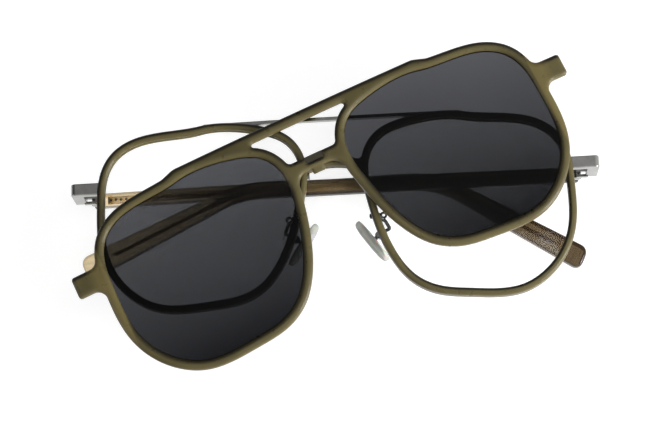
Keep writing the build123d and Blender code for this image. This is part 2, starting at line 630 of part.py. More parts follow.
def build():
    """Every node, in the row frame."""
    front = front_location()
    clip = front * Pos(CLIP_SHIFT[0], CLIP_SHIFT[1], 0) * Rot(0, 0, CLIP_TURN)
    nodes = {"front_frame": front * front_frame(), "brow_bar": front * brow_bar()}
    pad, core, fork, screw, socket = pad_bits()
    mirrored = {
        "rim_stud": stud(), "endpiece": endpiece(), "hinge_screw": hinge_screw(),
        "nose_pad": pad, "pad_core": core, "pad_screw": screw,
        "pad_bracket": pad_mount(), "pad_arm": pad_arm(fork, socket),
    }
    for name, piece in mirrored.items():
        nodes[f"{name}_right"] = front * piece
        nodes[f"{name}_left"] = front * mirror(piece, about=Plane.YZ)
    for side, sign in SIDES.items():
        nodes[f"clear_lens_{side}"] = front * clear_lens(sign)
        nodes[f"sun_lens_{side}"] = clip * sun_lens(sign)
        for name, piece in temple_parts(side).items():
            handed = piece if side == "left" else mirror(piece, about=Plane.YZ)
            nodes[f"{name}_{side}"] = temple_location(side) * handed
    nodes["clip_frame"] = clip * clip_frame()
    nodes["clip_magnet"] = clip * clip_magnet_blank()
    box = Compound(children=[Compound(node.solids()) for node in nodes.values()]).bounding_box()
    middle = Pos(-box.center().X, -box.center().Y, -box.min.Z)
    return {name: middle * node for name, node in nodes.items()}, middle


def main():
    os.makedirs("parts", exist_ok=True)
    nodes, middle = build()
    for name, node in nodes.items():
        export_step(Compound(node.solids()), f"parts/{name}.step")
        print(name, len(node.solids()), round(node.volume, 2))
    for side in SIDES:
        pin = middle * Location(tuple(pin_place(side)))
        print("pin", side, tuple(round(v, 4) for v in pin.position))


main()
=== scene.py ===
import json
import logging
import math
from dataclasses import dataclass, field
from enum import Enum
from typing import Sequence

import bpy
import numpy as np
from mathutils import Matrix


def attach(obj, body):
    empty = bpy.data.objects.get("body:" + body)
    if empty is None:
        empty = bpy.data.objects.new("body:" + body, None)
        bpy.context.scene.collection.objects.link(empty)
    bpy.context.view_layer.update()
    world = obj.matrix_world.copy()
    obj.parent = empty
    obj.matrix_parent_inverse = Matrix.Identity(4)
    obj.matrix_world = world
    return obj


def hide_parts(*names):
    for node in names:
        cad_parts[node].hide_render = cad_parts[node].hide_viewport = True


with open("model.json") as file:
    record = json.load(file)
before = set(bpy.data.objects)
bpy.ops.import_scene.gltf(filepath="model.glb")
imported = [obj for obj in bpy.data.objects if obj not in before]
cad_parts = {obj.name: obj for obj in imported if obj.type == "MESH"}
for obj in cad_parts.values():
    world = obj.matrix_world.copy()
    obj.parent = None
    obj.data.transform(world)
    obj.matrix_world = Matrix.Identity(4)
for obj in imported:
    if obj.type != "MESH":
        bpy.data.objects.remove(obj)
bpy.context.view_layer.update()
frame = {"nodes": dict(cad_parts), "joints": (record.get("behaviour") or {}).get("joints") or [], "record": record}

LOG = logging.getLogger("spectacles")
MM = 0.001
CLIP_TURN = math.radians(22.5)      # the clip lies turned on the front, anticlockwise
Colour = tuple[float, float, float, float]
Socket = bpy.types.NodeSocket
Material = bpy.types.Material
WHITE: Colour = (1.0, 1.0, 1.0, 1.0)
NOISE_SPAN = (0.3, 0.7)             # nearly all of a noise's values lie in it


class Slot(Enum):
    """The record's material slots that the pieces take their finish from."""

    FRONT = "front_plastic"
    CLIP = "clip_plastic"
    CLEAR_LENS = "clear_lens"
    SUN_LENS = "sun_lens"
    POLISHED = "polished_metal"
    STEEL = "steel"
    DARK_METAL = "dark_metal"
    TEMPLE = "temple_plastic"
    CORE = "core_metal"
    PAD = "pad_plastic"
    MAGNET = "magnet"


class Side(Enum):
    """Left and right of the front, with the sign of x there."""

    LEFT = -1
    RIGHT = 1

    @property
    def word(self) -> str:
        """The side's name as it ends a node's name."""
        return self.name.lower()


def linear(red: float, green: float, blue: float) -> Colour:
    """Turns a colour in 0 to 255 display values into Blender's linear values.

    Args:
        red, green, blue: display values.

    Returns:
        Linear red, green, blue and an alpha of 1.
    """
    def one(value: float) -> float:
        """The linear value of one channel, by the sRGB curve."""
        value = value / 255
        return value / 12.92 if value <= 0.04045 else ((value + 0.055) / 1.055) ** 2.4
    return one(red), one(green), one(blue), 1.0


def darker(colour: Colour, share: float) -> Colour:
    """The colour with its red, green and blue at a share of their strength."""
    return tuple(share * channel for channel in colour[:3]) + (1.0,)


class Tree:
    """A node tree, built by name and linked by socket."""

    def __init__(self, owner: Material | bpy.types.World) -> None:
        """Starts an empty tree.

        Args:
            owner: the material or world whose tree it is.
        """
        owner.use_nodes = True
        self.tree = owner.node_tree
        self.tree.nodes.clear()

    def add(self, kind: str, **sockets: object) -> bpy.types.Node:
        """Adds a node and fills its sockets.

        Args:
            kind: the node's type after "ShaderNode".
            sockets: values or other nodes' sockets, by input name with _ for a space. A name
                that is a property of the node sets that property.

        Returns:
            The new node.
        """
        node = self.tree.nodes.new("ShaderNode" + kind)
        for key, value in sockets.items():
            name = key.replace("_", " ")
            if name in node.inputs:
                self.put(node.inputs[name], value)
            else:
                setattr(node, key, value)
        return node

    def put(self, socket: Socket, value: object) -> None:
        """Links a socket to another one, or gives it a plain value.

        Args:
            socket: the input.
            value: an output socket, a number, or a colour.
        """
        if isinstance(value, Socket):
            self.tree.links.new(value, socket)
        else:
            socket.default_value = value

    def pair(self, node: bpy.types.Node, at: int, first: object,
             second: object) -> bpy.types.Node:
        """Fills two inputs of a node that follow each other.

        Args:
            node: the node.
            at: number of the first input.
            first, second: sockets or plain values.

        Returns:
            The node.
        """
        self.put(node.inputs[at], first)
        self.put(node.inputs[at + 1], second)
        return node

    def place(self, scale: Sequence[float] = (1.0, 1.0, 1.0)) -> Socket:
        """The piece's own coordinates in metres, stretched along each axis.

        Args:
            scale: factor on each axis.

        Returns:
            The vector socket.
        """
        coordinates = self.add("TexCoord").outputs["Object"]
        return self.add("Mapping", Vector=coordinates, Scale=scale).outputs["Vector"]

    def noise(self, grain: float, detail: float = 3.0, roughness: float = 0.5,
              scale: Sequence[float] = (1.0, 1.0, 1.0)) -> Socket:
        """Noise with features of about one grain.

        Args:
            grain: feature size in metres.
            detail: number of octaves.
            roughness: weight of the finer octaves.
            scale: stretch on each axis.

        Returns:
            The value socket, about 0 to 1.
        """
        node = self.add("TexNoise", Vector=self.place(scale), Scale=1 / grain, Detail=detail,
                        Roughness=roughness)
        return node.outputs["Fac"]

    def span(self, value: Socket, low: float, high: float,
             to_low: float = 0.0, to_high: float = 1.0) -> Socket:
        """Maps low..high of a value on to to_low..to_high, and stops at the ends.

        Args:
            value: the socket to map.
            low, high: the range read.
            to_low, to_high: the range given.

        Returns:
            The mapped socket.
        """
        node = self.add("MapRange", Value=value, From_Min=low, From_Max=high, To_Min=to_low,
                        To_Max=to_high)
        return node.outputs["Result"]

    def spread(self, noise: Socket, to_low: float = 0.0, to_high: float = 1.0) -> Socket:
        """Spreads the middle of a noise, where nearly all of it lies, over a range.

        Args:
            noise: the noise's value.
            to_low, to_high: the range given.

        Returns:
            The mapped socket.
        """
        return self.span(noise, *NOISE_SPAN, to_low, to_high)

    def blend(self, share: object, first: object, second: object) -> Socket:
        """Mixes two colours.

        Args:
            share: how much of the second, as a socket or a number.
            first, second: colours or sockets.

        Returns:
            The mixed colour's socket.
        """
        node = self.add("Mix", data_type="RGBA", Factor=share)
        return self.pair(node, 6, first, second).outputs[2]

    def level(self, share: object, first: object, second: object) -> Socket:
        """Mixes two numbers.

        Args:
            share: how much of the second, as a socket or a number.
            first, second: numbers or sockets.

        Returns:
            The mixed number's socket.
        """
        return self.pair(self.add("Mix", Factor=share), 2, first, second).outputs[0]

    def math(self, operation: str, first: object, second: object = 0.0) -> Socket:
        """One arithmetic step.

        Args:
            operation: Blender's name for it.
            first, second: numbers or sockets.

        Returns:
            The result's socket.
        """
        return self.pair(self.add("Math", operation=operation), 0, first, second).outputs[0]

    def facing(self, direction: Socket, towards: Sequence[float]) -> Socket:
        """How far a direction leans towards another, by their dot product.

        Args:
            direction: the socket of the one.
            towards: the other.

        Returns:
            The product's socket, 1 where two unit directions are the same.
        """
        node = self.add("VectorMath", operation="DOT_PRODUCT")
        return self.pair(node, 0, direction, towards).outputs["Value"]

    def along(self, angle: float) -> Socket:
        """How far a point of the piece lies along a level direction.

        Args:
            angle: the direction's turn from across the set, in radians.

        Returns:
            The distance from the middle, in metres.
        """
        parts = self.add("SeparateXYZ", Vector=self.place())
        return self.math("ADD", self.math("MULTIPLY", parts.outputs["X"], math.cos(angle)),
                         self.math("MULTIPLY", parts.outputs["Y"], math.sin(angle)))

    def bump(self, height: Socket, strength: float, distance: float) -> Socket:
        """Turns a height into a bumped normal.

        Args:
            height: the height's socket.
            strength: share of the full effect.
            distance: full height in metres.

        Returns:
            The normal's socket.
        """
        node = self.add("Bump", Height=height, Strength=strength, Distance=distance)
        return node.outputs["Normal"]

    def mix(self, share: Socket, first: bpy.types.Node,
            second: bpy.types.Node) -> bpy.types.Node:
        """Mixes two shaders.

        Args:
            share: how much of the second.
            first, second: the shader nodes.

        Returns:
            The mixing node.
        """
        node = self.add("MixShader", Fac=share)
        return self.pair(node, 1, first.outputs[0], second.outputs[0])


class Graph(Tree):
    """A material's node tree."""

    def __init__(self, name: str) -> None:
        """Starts an empty tree with its output.

        Args:
            name: the material's name.
        """
        self.material = bpy.data.materials.new(name)
        super().__init__(self.material)
        self.output = self.add("OutputMaterial")

    def surface(self, shader: bpy.types.Node) -> Material:
        """Ends the tree in a shader.

        Args:
            shader: the last shader node.

        Returns:
            The finished material.
        """
        self.put(self.output.inputs["Surface"], shader.outputs[0])
        return self.material

    def lets_light_through(self, shader: bpy.types.Node, tint: Colour) -> Material:
        """Ends the tree in a shader whose shadow is only a tint, as thin glass casts.

        Args:
            shader: the shader seen.
            tint: colour of the light that passes.

        Returns:
            The finished material.
        """
        path = self.add("LightPath")
        clear = self.add("BsdfTransparent", Color=tint)
        return self.surface(self.mix(path.outputs["Is Shadow Ray"], shader, clear))


@dataclass(frozen=True)
class OlivePlastic:
    """Satin olive plastic, with painted shade on its upper edges and a painted warm glow on its
    lower ones, standing in for how the light falls on it and shines through it.

    An edge is told by how far its rounded normal leans towards upper. Two distances from the
    middle, out along the clip, may be given; between them runs a painted highlight band, where
    a flat on the real rim catches the light.
    """

    name: str
    soften: float
    # Two distances between which a painted highlight band runs, where a flat on the rim catches the light.
    facets: tuple[float, float] | None = None
    body: Colour = linear(106, 97, 62)
    deep: Colour = linear(94, 86, 54)
    # Painted shade on the edges that face up the set.
    dark: Colour = linear(32, 29, 20)
    # Painted warm glow on the edges that face down the set, standing in for light through the plastic; also the
    # painted highlight band's tone.
    gold: Colour = linear(134, 120, 74)
    upper: tuple[float, float, float] = (-0.42, 0.90, 0.0)
    dark_span: tuple[float, float] = (0.02, 0.13)
    dark_share: float = 0.95
    gold_span: tuple[float, float] = (-0.35, -0.8)
    gold_share: float = 0.55
    facet_edge: float = 0.4 * MM
    facet_fade: float = 3.0 * MM
    facet_share: float = 0.5
    bevel_samples: int = 8
    octaves: float = 2.0
    cloud: float = 9 * MM
    cloud_span: tuple[float, float] = (0.35, 0.65)
    rough_patch: float = 2.5 * MM
    rough_span: tuple[float, float] = (0.26, 0.36)
    grain: float = 0.12 * MM
    grain_strength: float = 0.2
    grain_depth: float = 0.01 * MM
    scatter: float = 0.12
    scatter_scale: float = 0.5 * MM
    scatter_reach: tuple[float, float, float] = (1.4, 1.1, 0.45)
    gloss: float = 0.35

    def material(self) -> Material:
        """Soft clouding, rounded edges in painted shade and painted glow, a fine moulded grain, light
        under the skin.

        Returns:
            The material.
        """
        g = Graph(self.name)
        cloud = g.span(g.noise(self.cloud, self.octaves), *self.cloud_span)
        dome = g.add("Bevel", samples=self.bevel_samples, Radius=self.soften)
        # Paints shade on the upper edges and a warm glow on the lower ones.
        colour = self.edges(g, dome.outputs["Normal"], g.blend(cloud, self.body, self.deep))
        # Painted highlight band over the rim by each side lug.
        if self.facets:
            colour = g.blend(self.flats(g), colour, self.gold)
        rough = g.spread(g.noise(self.rough_patch), *self.rough_span)
        bump = g.add("Bump", Height=g.noise(self.grain, self.octaves), Distance=self.grain_depth,
                     Strength=self.grain_strength, Normal=dome.outputs["Normal"])
        return g.surface(g.add("BsdfPrincipled", Base_Color=colour, Roughness=rough,
                               Normal=bump.outputs["Normal"], Subsurface_Weight=self.scatter,
                               Subsurface_Radius=self.scatter_reach,
                               Subsurface_Scale=self.scatter_scale,
                               Specular_IOR_Level=self.gloss))

    def edges(self, g: Graph, lie: Socket, body: Socket) -> Socket:
        """Paints shade on the edges that face up the set and a glow on those that face down it.

        Args:
            g: the tree that asks.
            lie: the rounded surface's normal.
            body: the plain colour.

        Returns:
            The colour with its painted edge shade and glow.
        """
        turned = g.facing(lie, self.upper)
        shaded = g.blend(g.span(turned, *self.dark_span, 0.0, self.dark_share), body, self.dark)
        return g.blend(g.span(turned, *self.gold_span, 0.0, self.gold_share), shaded, self.gold)

    def flats(self, g: Graph) -> Socket:
        """A painted highlight band where a flat runs on from each side lug over the rim and catches
        the light.

        Args:
            g: the tree that asks.

        Returns:
            The band's share of the painted highlight.
        """
        out = g.math("ABSOLUTE", g.along(CLIP_TURN))
        first, last = self.facets
        begins = g.span(out, first, first + self.facet_edge)
        ends = g.span(out, last, last + self.facet_fade, self.facet_share, 0.0)
        return g.math("MULTIPLY", begins, ends)


@dataclass(frozen=True)
class TintedLens:
    """Dark lens, its tint lightest at the height called high and darkest at low.

    The lighter top is a painted reflection; the lens's own tint is dark.
    """

    name: str
    # The lighter top colour is a painted reflection over the lens's own dark tint.
    top: Colour = (0.088, 0.090, 0.098, 1.0)
    bottom: Colour = (0.008, 0.0084, 0.0102, 1.0)
    low: float = -25 * MM
    high: float = 27 * MM
    roughness: float = 0.02
    index: float = 1.22
    shade: Colour = (0.10, 0.10, 0.11, 1.0)

    def material(self) -> Material:
        """Clear plastic whose tint runs along the clip's upright direction, lighter upward as a
        painted reflection.

        Returns:
            The material.
        """
        g = Graph(self.name)
        upward = g.along(CLIP_TURN + math.pi / 2)
        # Painted reflection: the tint lightens towards the top.
        tint = g.blend(g.span(upward, self.low, self.high), self.bottom, self.top)
        shader = g.add("BsdfPrincipled", Base_Color=tint, Roughness=self.roughness,
                       IOR=self.index, Transmission_Weight=1.0)
        return g.lets_light_through(shader, self.shade)


@dataclass(frozen=True)
class ClearLens:
    """Coated clear lens."""

    name: str
    clean: Colour = (0.985, 0.99, 0.985, 1.0)
    smeared: Colour = (0.975, 0.98, 0.975, 1.0)
    smear: float = 6 * MM
    index: float = 1.2
    shade: Colour = (0.96, 0.97, 0.96, 1.0)

    def material(self) -> Material:
        """Almost invisible, with a faint smear.

        Returns:
            The material.
        """
        g = Graph(self.name)
        tint = g.blend(g.spread(g.noise(self.smear)), self.clean, self.smeared)
        shader = g.add("BsdfPrincipled", Base_Color=tint, Roughness=0.0, IOR=self.index,
                       Transmission_Weight=1.0)
        return g.lets_light_through(shader, self.shade)


@dataclass(frozen=True)
class Metal:
    """Plated or turned metal with faint polishing marks."""

    name: str
    colour: Colour
    roughness: float
    marks: float = 0.3 * MM
    marks_octaves: float = 4.0
    marks_fine: float = 0.6
    marks_stretch: tuple[float, float, float] = (1.0, 6.0, 1.0)
    marks_strength: float = 0.12
    marks_depth: float = 0.01 * MM
    uneven: tuple[float, float] = (0.7, 1.4)
    patch: float = 3 * MM
    patch_span: tuple[float, float] = (0.35, 0.7)
    patch_shade: float = 0.82

    def material(self) -> Material:
        """Uneven polish and fine marks across the piece.

        Returns:
            The material.
        """
        g = Graph(self.name)
        marks = g.noise(self.marks, self.marks_octaves, self.marks_fine, self.marks_stretch)
        rough = g.spread(marks, *(self.roughness * share for share in self.uneven))
        patches = g.span(g.noise(self.patch), *self.patch_span)
        colour = g.blend(patches, self.colour, darker(self.colour, self.patch_shade))
        return g.surface(g.add("BsdfPrincipled", Base_Color=colour, Roughness=rough, Metallic=1.0,
                               Normal=g.bump(marks, self.marks_strength, self.marks_depth)))


@dataclass(frozen=True)
class InlaidLeaf:
    """Polished metal at the knuckles, clear as the blade where plastic covers the leaf."""

    name: str
    bare: Colour = linear(150, 150, 148)
    covered: Colour = linear(250, 244, 232)
    bare_from: float = 67.2 * MM
    bare_edge: float = 0.3 * MM
    rough_span: tuple[float, float] = (0.15, 0.3)
    marks: float = 0.5 * MM
    marks_octaves: float = 3.0
    marks_fine: float = 0.6
    marks_stretch: tuple[float, float, float] = (1.0, 4.0, 1.0)
    marks_strength: float = 0.1
    marks_depth: float = 0.01 * MM

    def material(self) -> Material:
        """Metal outside a place across the set, see-through inward of it.

        Returns:
            The material.
        """
        g = Graph(self.name)
        outward = g.math("ABSOLUTE", g.along(0.0))
        marks = g.noise(self.marks, self.marks_octaves, self.marks_fine, self.marks_stretch)
        metal = g.add("BsdfPrincipled", Base_Color=self.bare, Metallic=1.0,
                      Roughness=g.spread(marks, *self.rough_span),
                      Normal=g.bump(marks, self.marks_strength, self.marks_depth))
        clear = g.add("BsdfTransparent", Color=self.covered)
        share = g.span(outward, self.bare_from, self.bare_from + self.bare_edge)
        return g.surface(g.mix(share, clear, metal))


@dataclass(frozen=True)
class AmberPlastic:
    """See-through champagne brown plastic of the temples.

    It is pale up to a place on the set's left and turns to brown by a place on its right.
    """

    name: str
    pale: Colour = linear(224, 206, 168)
    brown: Colour = linear(66, 49, 25)
    octaves: float = 2.0
    pale_until: float = -62 * MM
    brown_from: float = 56 * MM
    streak: float = 1.6 * MM
    streak_stretch: tuple[float, float, float] = (0.025, 1.0, 1.0)
    streak_span: tuple[float, float] = (0.4, 0.75)
    streak_share: float = 0.25
    streak_shade: float = 0.7
    # Painted shade along the blade's rounded edges.
    edge_span: tuple[float, float] = (0.93, 0.45)
    edge_share: float = 0.9
    edge_shade: float = 0.18
    clear_until: float = 0.6
    clear_span: tuple[float, float] = (0.92, 0.55)
    roughness: float = 0.08
    index: float = 1.36
    ripple: float = 4 * MM
    ripple_strength: float = 0.1
    ripple_depth: float = 0.03 * MM
    shade: Colour = (0.55, 0.42, 0.25, 1.0)

    def material(self) -> Material:
        """Polished, streaked along its length, with painted shade along its edges, clearer and
        paler on the set's left.

        Returns:
            The material.
        """
        g = Graph(self.name)
        tone = g.span(g.along(0.0), self.pale_until, self.brown_from)
        base = g.blend(tone, self.pale, self.brown)
        lines = g.noise(self.streak, self.octaves, scale=self.streak_stretch)
        streak = g.span(lines, *self.streak_span, 0.0, self.streak_share)
        streaked = g.blend(streak, base, darker(self.brown, self.streak_shade))
        # Painted shade where the surface turns away from the blade's wide sides.
        edge = g.span(self.flatness(g), *self.edge_span, 0.0, self.edge_share)
        colour = g.blend(edge, streaked, darker(self.brown, self.edge_shade))
        ripple = g.bump(g.noise(self.ripple, self.octaves), self.ripple_strength,
                        self.ripple_depth)
        shader = g.add("BsdfPrincipled", Base_Color=colour, Roughness=self.roughness,
                       IOR=self.index, Normal=ripple,
                       Transmission_Weight=g.span(tone, 0.0, self.clear_until, *self.clear_span))
        return g.lets_light_through(shader, self.shade)

    def flatness(self, g: Graph) -> Socket:
        """How squarely the surface faces out of the blade's wide sides.

        Args:
            g: the tree that asks.

        Returns:
            A value of 1 on the wide sides, less round the edges.
        """
        own = g.add("SeparateXYZ", Vector=g.add("TexCoord").outputs["Normal"])
        return g.math("ABSOLUTE", own.outputs["Z"])


@dataclass(frozen=True)
class SoftPad:
    """Clear soft plastic of the nose pads, slightly milky."""

    name: str
    pale: Colour = (0.80, 0.82, 0.76, 1.0)
    milky: Colour = (0.70, 0.72, 0.66, 1.0)
    octaves: float = 2.0
    milk: float = 1.2 * MM
    roughness: float = 0.18
    index: float = 1.43
    dimple: float = 0.8 * MM
    dimple_strength: float = 0.1
    dimple_depth: float = 0.02 * MM
    clear: float = 0.35
    scatter: float = 0.3
    scatter_scale: float = 0.8 * MM
    shade: Colour = (0.7, 0.72, 0.66, 1.0)

    def material(self) -> Material:
        """Milky with a faint green cast, glossy skin.

        Returns:
            The material.
        """
        g = Graph(self.name)
        colour = g.blend(g.spread(g.noise(self.milk, self.octaves)), self.pale, self.milky)
        dimples = g.bump(g.noise(self.dimple, self.octaves), self.dimple_strength,
                         self.dimple_depth)
        shader = g.add("BsdfPrincipled", Base_Color=colour, Roughness=self.roughness,
                       IOR=self.index, Normal=dimples, Transmission_Weight=self.clear,
                       Subsurface_Weight=self.scatter, Subsurface_Scale=self.scatter_scale)
        return g.lets_light_through(shader, self.shade)


def dress(name: str, material: Material) -> None:
    """Gives a CAD node its finish.

    Args:
        name: the node.
        material: what it is made of.
    """
    slots = frame["nodes"][name].data.materials
    slots.clear()
    slots.append(material)
    LOG.info("%s dressed in %s", name, material.name)


def unit(vector: Sequence[float]) -> np.ndarray:
    """The vector at length 1."""
    array = np.asarray(vector, float)
    return array / np.linalg.norm(array)


def holds(points: np.ndarray, faces: np.ndarray) -> float:
    """The volume inside a closed surface, less than nothing where its faces point inward.

    Each face with the origin makes a tetrahedron or two, and their signed volumes add up.

    Args:
        points: n by 3 places.
        faces: m by 4 corner numbers.

    Returns:
        The signed volume.
    """
    a, b, c, d = (points[faces[:, k]] for k in range(4))
    halves = np.einsum("ij,ij->i", a, np.cross(b, c)) + np.einsum("ij,ij->i", a, np.cross(c, d))
    return float(halves.sum() / 6)


def make_piece(name: str, points: np.ndarray, faces: np.ndarray, body: str,
               material: Material) -> bpy.types.Object:
    """Puts one closed surface into the scene and lets it ride on its body.

    Args:
        name: the piece's name.
        points: n by 3 places in metres.
        faces: m by 4 corner numbers; a triangle repeats its last corner.
        body: the CAD body that it moves with.
        material: its finish.

    Returns:
        The piece.
    """
    mesh = bpy.data.meshes.new(name)
    if holds(points, faces) < 0:
        faces = np.where((faces[:, 3] == faces[:, 2])[:, None], faces[:, [1, 0, 2, 2]],
                         faces[:, ::-1])
    triangle = faces[:, 3] == faces[:, 2]
    mesh.from_pydata(points.tolist(), [], faces[triangle][:, :3].tolist()
                     + faces[~triangle].tolist())
    mesh.materials.append(material)
    mesh.polygons.foreach_set("use_smooth", np.ones(len(mesh.polygons), bool))
    piece = bpy.data.objects.new(name, mesh)
    bpy.context.scene.collection.objects.link(piece)
    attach(piece, body)
    LOG.info("%s: %d faces, rides on %s", name, len(faces), body)
    return piece


def tube_faces(rings: int, around: int) -> np.ndarray:
    """Faces of a surface made of rings of points, closed at both ends on a middle point.

    The points are numbered ring by ring, then the first end's middle and the last end's middle.

    Args:
        rings: how many rings.
        around: points on each ring, turning clockwise as seen along the path.

    Returns:
        Faces, outward where the rings turn that way.
    """
    ring, step = np.meshgrid(np.arange(rings - 1), np.arange(around), indexing="ij")
    after = (step + 1) % around
    wall = np.stack([ring * around + step, ring * around + after,
                     (ring + 1) * around + after, (ring + 1) * around + step], -1).reshape(-1, 4)
    turn = np.arange(around)
    onward = (turn + 1) % around
    first, last = rings * around, rings * around + 1
    start = np.stack([onward, turn, np.full(around, first), np.full(around, first)], -1)
    end_base = (rings - 1) * around
    end = np.stack([end_base + turn, end_base + onward, np.full(around, last),
                    np.full(around, last)], -1)
    return np.concatenate([wall, start, end])


def rounded_section(half_wide: np.ndarray, half_deep: np.ndarray, radius: np.ndarray,
                    per_corner: int = 6) -> tuple[np.ndarray, np.ndarray]:
    """Rounded rectangles, one for each place along a path.

    Each corner is a quarter circle of the radius about a point that far inside both sides.

    Args:
        half_wide, half_deep: half the rectangle's sides at each place.
        radius: corner radius at each place.
        per_corner: points on each corner.

    Returns:
        Across and deep coordinates, places by points around.
    """
    quarter = np.linspace(0, math.pi / 2, per_corner)
    angle = np.concatenate([quarter + k * math.pi / 2 for k in range(4)])
    sign_wide = np.repeat([1, -1, -1, 1], per_corner)
    sign_deep = np.repeat([1, 1, -1, -1], per_corner)
    wide = (half_wide - radius)[:, None] * sign_wide + radius[:, None] * np.cos(angle)
    deep = (half_deep - radius)[:, None] * sign_deep + radius[:, None] * np.sin(angle)
    return wide, deep


def superellipse(wave: np.ndarray, order: float) -> np.ndarray:
    """A cosine or sine to the power 2 / order with its sign kept, for a superellipse's axis."""
    return np.sign(wave) * np.abs(wave) ** (2 / order)


def stands(right: np.ndarray, back: np.ndarray, place: Sequence[float]) -> Matrix:
    """The matrix of a camera or lamp that looks away from its back.

    Args:
        right, back: unit vectors to its right and out of its back.
        place: where it stands.

    Returns:
        The matrix.
    """
    matrix = np.eye(4)
    matrix[:3] = np.stack([right, np.cross(back, right), back, place], 1)
    return Matrix([tuple(row) for row in matrix])


@dataclass
class Placing:
    """Where the front lies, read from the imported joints."""

    joints: dict[str, dict] = field(init=False)
    normal: np.ndarray = field(init=False)
    across: np.ndarray = field(init=False)
    middle: np.ndarray = field(init=False)
    pin: dict[Side, np.ndarray] = field(init=False)
    pad_pivot: dict[Side, np.ndarray] = field(init=False)

    def __post_init__(self) -> None:
        """Keeps the joints by name and works out the front's own axes."""
        self.joints = {joint["name"]: joint for joint in frame["joints"]}
        self.normal = unit(self.joints["clip_lift"]["axis"])
        self.across = unit(np.cross((0.0, 1.0, 0.0), self.normal))
        self.pin = {side: self.place(f"temple_{side.word}_fold") for side in Side}
        self.middle = (self.pin[Side.LEFT] + self.pin[Side.RIGHT]) / 2
        self.pad_pivot = {side: self.place(f"nose_pad_{side.word}_rock") for side in Side}

    def place(self, joint: str) -> np.ndarray:
        """A joint's place, in metres."""
        return np.array(self.joints[joint]["pos_m"])

    def right_fall(self) -> float:
        """How far the right blade falls towards its tip, from its fold's range.

        Returns:
            The fall in degrees.
        """
        lean = math.degrees(math.asin(-self.normal[0]))
        low, high = self.joints["temple_right_fold"]["range_deg"]
        return 90 + lean - (high - low)


